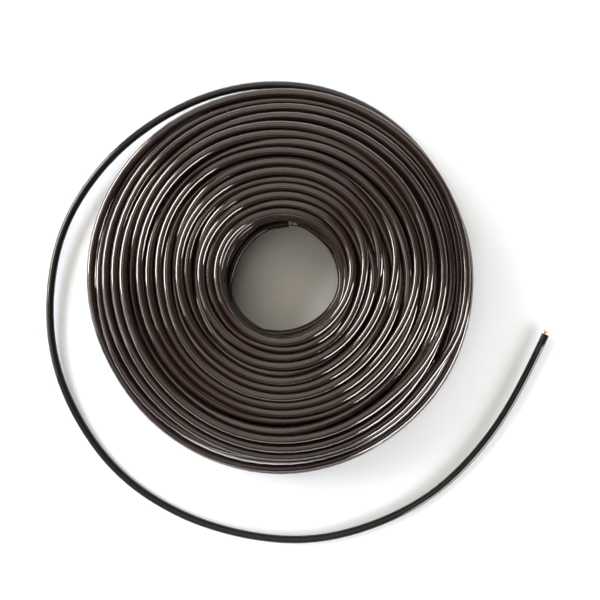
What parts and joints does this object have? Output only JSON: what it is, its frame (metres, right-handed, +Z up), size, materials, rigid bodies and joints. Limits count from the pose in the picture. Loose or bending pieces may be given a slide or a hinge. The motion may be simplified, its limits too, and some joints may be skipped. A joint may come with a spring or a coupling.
{
  "type": "coil of insulated wire",
  "caption": "Round flat-lying coil of glossy black insulated wire with an open bore, its outer end running free round it and bare stranded copper at both cut ends.",
  "frame": {"origin": "on the coil's axis, at the floor that it lies on", "axes": "+Z up along the coil's axis; +X towards the free end's cut tip, 12 degrees counter-clockwise of it seen from above"},
  "size_m": [0.2013, 0.1851, 0.0355],
  "materials": {
    "insulation": "glossy",
    "copper": "bright drawn copper"
  },
  "bodies": {
    "root": {"inner_winding": "insulation", "outer_turns": "insulation", "free_end_insulation": "insulation", "free_end_conductor": "copper", "outer_strand_1": "copper", "outer_strand_2": "copper", "outer_strand_3": "copper", "outer_strand_4": "copper", "outer_strand_5": "copper", "outer_strand_6": "copper", "outer_strand_7": "copper", "inner_strand_1": "copper", "inner_strand_2": "copper", "inner_strand_3": "copper", "inner_strand_4": "copper", "inner_strand_5": "copper", "inner_strand_6": "copper", "inner_strand_7": "copper"}
  },
  "joints": []
}
